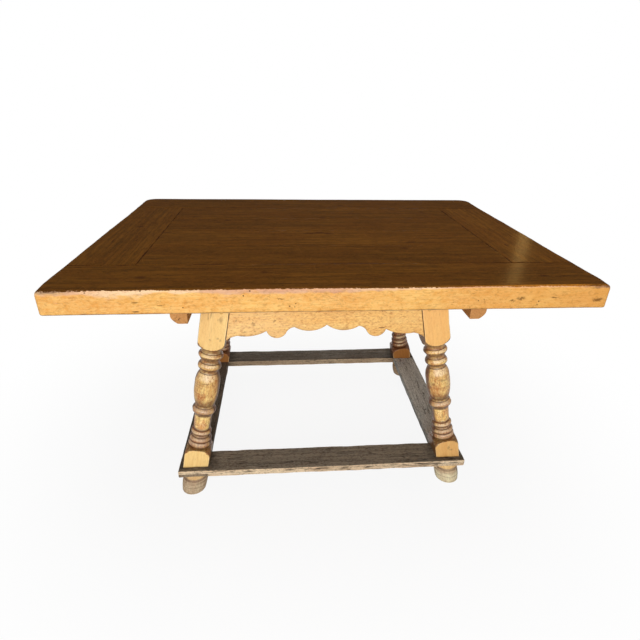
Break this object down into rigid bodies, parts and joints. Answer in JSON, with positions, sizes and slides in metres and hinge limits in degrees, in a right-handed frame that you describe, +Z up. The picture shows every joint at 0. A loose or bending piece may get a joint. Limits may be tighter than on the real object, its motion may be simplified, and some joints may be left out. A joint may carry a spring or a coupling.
{
  "type": "tavern table",
  "caption": "Rectangular tavern table with a thick framed board top, splayed baluster-turned legs, scalloped aprons, a low flat stretcher frame and turned feet.",
  "frame": {"origin": "on the floor, under the middle of the top", "axes": "+X along the length of the top to its right end, +Y to the back, +Z up"},
  "size_m": [1.34, 0.98, 0.765],
  "materials": {
    "top_wood": "dark oak, waxed, satin, worn pale along the edge",
    "batten_wood": "brown oak, planed, matt",
    "apron_wood": "honey oak, waxed, speckled",
    "leg_wood": "golden oak, turned, polished by wear",
    "stretcher_wood": "grey-brown oak, foot-worn, matt",
    "foot_wood": "pale dry oak, fine cracks, matt",
    "peg_wood": "brown oak end grain, matt"
  },
  "bodies": {
    "root": {"top_front_rail": "top_wood", "top_back_rail": "top_wood", "top_left_end_board": "top_wood", "top_right_end_board": "top_wood", "top_plank_1": "top_wood", "top_plank_2": "top_wood", "top_plank_3": "top_wood", "top_plank_4": "top_wood", "left_batten": "batten_wood", "right_batten": "batten_wood", "front_apron": "apron_wood", "back_apron": "apron_wood", "left_apron": "apron_wood", "right_apron": "apron_wood", "front_left_leg": "leg_wood", "front_right_leg": "leg_wood", "back_left_leg": "leg_wood", "back_right_leg": "leg_wood", "front_stretcher": "stretcher_wood", "back_stretcher": "stretcher_wood", "left_stretcher": "stretcher_wood", "right_stretcher": "stretcher_wood", "front_left_foot": "foot_wood", "front_right_foot": "foot_wood", "back_left_foot": "foot_wood", "back_right_foot": "foot_wood", "top_frame_pegs": "peg_wood", "batten_pegs": "peg_wood", "front_apron_pegs": "peg_wood", "back_apron_pegs": "peg_wood", "left_apron_pegs": "peg_wood", "right_apron_pegs": "peg_wood"}
  },
  "joints": []
}
